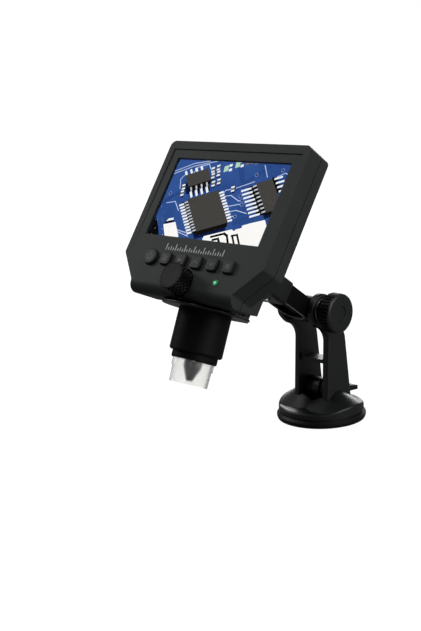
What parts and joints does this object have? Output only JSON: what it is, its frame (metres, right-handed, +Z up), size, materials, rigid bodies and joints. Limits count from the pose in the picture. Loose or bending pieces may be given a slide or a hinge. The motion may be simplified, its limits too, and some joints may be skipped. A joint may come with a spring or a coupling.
{
  "type": "lcd digital microscope",
  "caption": "Desk microscope with its own screen: a tilting head with focus wheel, keys and ring-lit barrel on an arm that pivots in a forked suction stand.",
  "frame": {"origin": "centre of the suction foot's sole, on the table", "axes": "+Z up from the table, +X to the device's right, +Y away from the user, towards the back of the stand"},
  "size_m": [0.1174, 0.1708, 0.193],
  "materials": {
    "housing_black": "fine texture",
    "stand_black": "satin",
    "key_black": "satin",
    "knob_black": "knurled",
    "barrel_black": "satin",
    "cup_rubber": "smooth",
    "liner_white": "plain",
    "pane": "polished",
    "display": "plain",
    "board_green": "solder mask",
    "board_white": "plain",
    "steel": "plain",
    "brass": "turned",
    "battery_grey": "foil",
    "lens_black": "black anodised",
    "lens_glass": "coated",
    "clear_plastic": "polished",
    "light_green": "lit",
    "chip_black": "plain"
  },
  "bodies": {
    "stand": {"suction_cup": "cup_rubber", "clamp_ring": "stand_black", "fork": "stand_black", "lever_pin": "steel", "hinge_bolt": "steel", "washer_left": "liner_white", "washer_right": "liner_white", "steel_washer": "steel"},
    "suction_lever": {"suction_lever": "stand_black"},
    "cup_lift": {"cup_stem": "stand_black", "cup_centre": "cup_rubber"},
    "clamp_knob": {"hinge_knob": "stand_black", "knob_insert": "brass"},
    "arm": {"arm": "stand_black", "arm_screw": "steel", "holder": "stand_black", "ring_liner": "liner_white"},
    "head": {"front_shell": "housing_black", "rear_shell": "housing_black", "shell_screw_1": "steel", "shell_screw_2": "steel", "shell_screw_3": "steel", "shell_screw_4": "steel", "screen_pane": "pane", "lcd_panel": "display", "main_board": "board_green", "usb_socket": "steel", "card_socket": "steel", "battery": "battery_grey", "key_board": "board_green", "status_light": "light_green", "barrel": "barrel_black", "barrel_nut": "lens_black", "lamp_ring": "barrel_black", "lamp_board": "board_white", "clear_cap": "clear_plastic", "sensor_board": "board_green", "image_sensor": "chip_black"},
    "focus_wheel": {"focus_knob": "knob_black", "focus_shaft": "steel", "focus_pinion": "brass"},
    "lens": {"lens_carriage": "lens_black", "field_lens": "lens_glass", "lens_nose": "lens_black", "objective_lens": "lens_glass"},
    "power": {"power_button": "key_black"},
    "key_1_body": {"key_1": "key_black"},
    "key_2_body": {"key_2": "key_black"},
    "key_3_body": {"key_3": "key_black"},
    "key_4_body": {"key_4": "key_black"},
    "key_5_body": {"key_5": "key_black"}
  },
  "joints": [
    {"name": "lever_swing", "type": "hinge", "parent": "stand", "child": "suction_lever", "pos_m": [0, 0.00187, 0.0196], "axis": [1, 0, 0], "range_deg": [0, 60]},
    {"name": "cup_lift_slide", "type": "slide", "parent": "stand", "child": "cup_lift", "axis": [0, 0, 1], "range_m": [-0.002, 0]},
    {"name": "arm_tilt", "type": "hinge", "parent": "stand", "child": "arm", "pos_m": [0, -0.0129, 0.078], "axis": [1, 0, 0], "range_deg": [-55, 20]},
    {"name": "clamp_turn", "type": "hinge", "parent": "stand", "child": "clamp_knob", "pos_m": [0, -0.0129, 0.078], "axis": [1, 0, 0], "range_deg": [0, 360]},
    {"name": "head_swivel", "type": "hinge", "parent": "arm", "child": "head", "pos_m": [0, -0.1059, 0.096], "axis": [0, 0.3949, 0.9187], "range_deg": [-25, 25]},
    {"name": "focus_turn", "type": "hinge", "parent": "head", "child": "focus_wheel", "pos_m": [0, -0.12484, 0.11511], "axis": [0, -0.8161, 0.5779], "range_deg": [-46.7, 63.04]},
    {"name": "focus_slide", "type": "slide", "parent": "head", "child": "lens", "axis": [0, 0.3949, 0.9187], "range_m": [-0.002, 0.0027]},
    {"name": "power_press", "type": "slide", "parent": "head", "child": "power", "axis": [0, 0.8161, -0.5779], "range_m": [0, 0.0004], "stiffness_N_per_m": 600, "springref_m": -0.0005},
    {"name": "key_1_press", "type": "slide", "parent": "head", "child": "key_1_body", "axis": [0, 0.8161, -0.5779], "range_m": [0, 0.0004], "stiffness_N_per_m": 600, "springref_m": -0.0005},
    {"name": "key_2_press", "type": "slide", "parent": "head", "child": "key_2_body", "axis": [0, 0.8161, -0.5779], "range_m": [0, 0.0004], "stiffness_N_per_m": 600, "springref_m": -0.0005},
    {"name": "key_3_press", "type": "slide", "parent": "head", "child": "key_3_body", "axis": [0, 0.8161, -0.5779], "range_m": [0, 0.0004], "stiffness_N_per_m": 600, "springref_m": -0.0005},
    {"name": "key_4_press", "type": "slide", "parent": "head", "child": "key_4_body", "axis": [0, 0.8161, -0.5779], "range_m": [0, 0.0004], "stiffness_N_per_m": 600, "springref_m": -0.0005},
    {"name": "key_5_press", "type": "slide", "parent": "head", "child": "key_5_body", "axis": [0, 0.8161, -0.5779], "range_m": [0, 0.0004], "stiffness_N_per_m": 600, "springref_m": -0.0005}
  ],
  "couplings": [
    {"joint": "lever_swing", "follows": "cup_lift_slide", "rad_per_m": -523.6},
    {"joint": "focus_turn", "follows": "focus_slide", "rad_per_m": 407.5}
  ]
}
